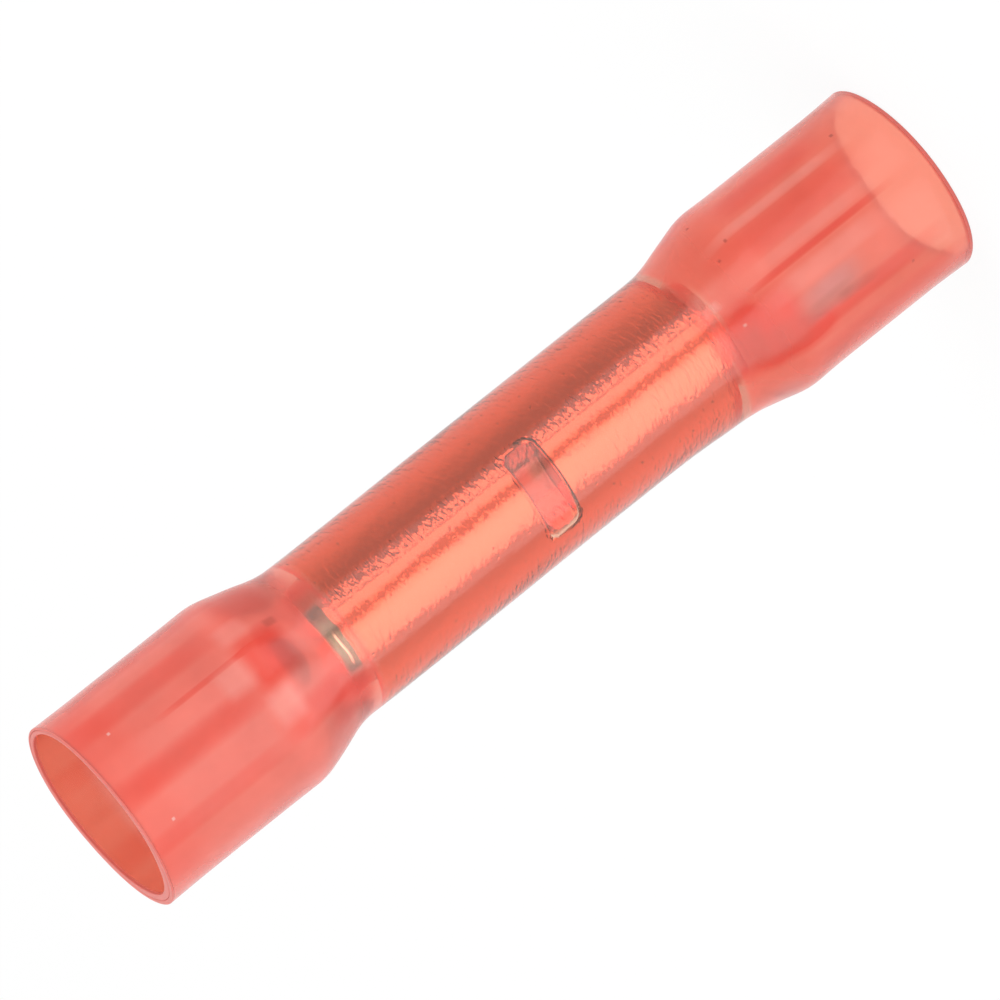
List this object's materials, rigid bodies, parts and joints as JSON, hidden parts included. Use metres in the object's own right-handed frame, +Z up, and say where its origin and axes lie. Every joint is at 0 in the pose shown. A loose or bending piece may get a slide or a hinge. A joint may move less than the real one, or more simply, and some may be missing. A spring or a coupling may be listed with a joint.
{
  "type": "heat-shrink butt connector",
  "caption": "Heat-shrink butt connector: a see-through red sleeve with a hot-melt lining, shrunk onto a tinned crimp barrel that joins wires end to end.",
  "frame": {"origin": "on the connector's axis, level with the rim of the lower mouth that it stands on", "axes": "+Z up along the connector's axis; the barrel's pressed-in wire stop faces -Y"},
  "size_m": [0.0066, 0.0066, 0.032],
  "materials": {
    "red_jacket": "see-through red polyolefin, smooth",
    "clear_adhesive": "clear hot-melt adhesive",
    "tinned_copper": "tin plated, tumbled, with fine scratches"
  },
  "bodies": {
    "root": {"heat_shrink_jacket": "red_jacket", "adhesive_liner": "clear_adhesive", "crimp_barrel": "tinned_copper"}
  },
  "joints": []
}
